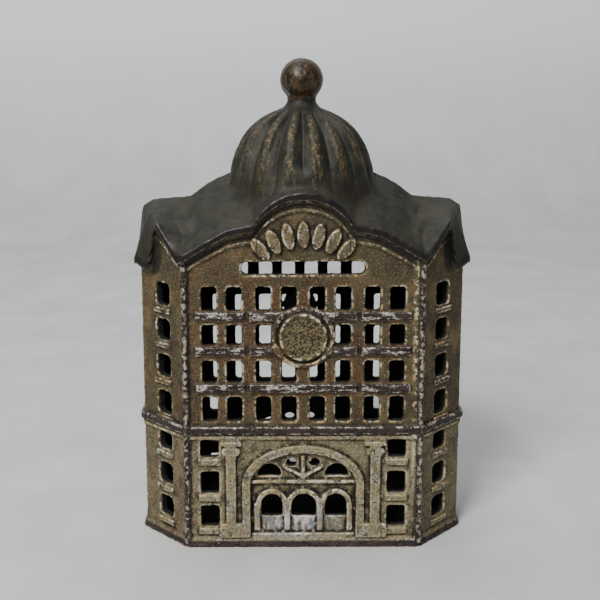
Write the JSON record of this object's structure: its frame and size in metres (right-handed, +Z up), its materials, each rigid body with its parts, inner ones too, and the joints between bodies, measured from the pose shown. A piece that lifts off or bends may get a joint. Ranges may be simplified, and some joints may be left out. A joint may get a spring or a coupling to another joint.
{
  "type": "still bank",
  "caption": "Cast iron coin bank shaped as a domed building with barred windows, a coin slot over a medallion, and two halves held by a screw.",
  "frame": {"origin": "middle of the underside, on the seam between the halves", "axes": "+X along the front wall, to the right of someone facing the front; +Y from the front to the back; +Z up"},
  "size_m": [0.0882, 0.0425, 0.126],
  "materials": {
    "aged_bronze_paint": "worn bronze paint over iron",
    "aged_bronze_paint_back": "worn bronze paint over iron",
    "screw_steel": "tarnished"
  },
  "bodies": {
    "front": {"front_casting": "aged_bronze_paint"},
    "back": {"back_casting": "aged_bronze_paint_back"},
    "screw": {"clamp_screw": "screw_steel"}
  },
  "joints": [
    {"name": "back_lift_off", "type": "slide", "parent": "front", "child": "back", "axis": [0, 1, 0], "range_m": [0, 0.06]},
    {"name": "screw_draw", "type": "slide", "parent": "back", "child": "screw", "axis": [0, 1, 0], "range_m": [0, 0.036]}
  ]
}
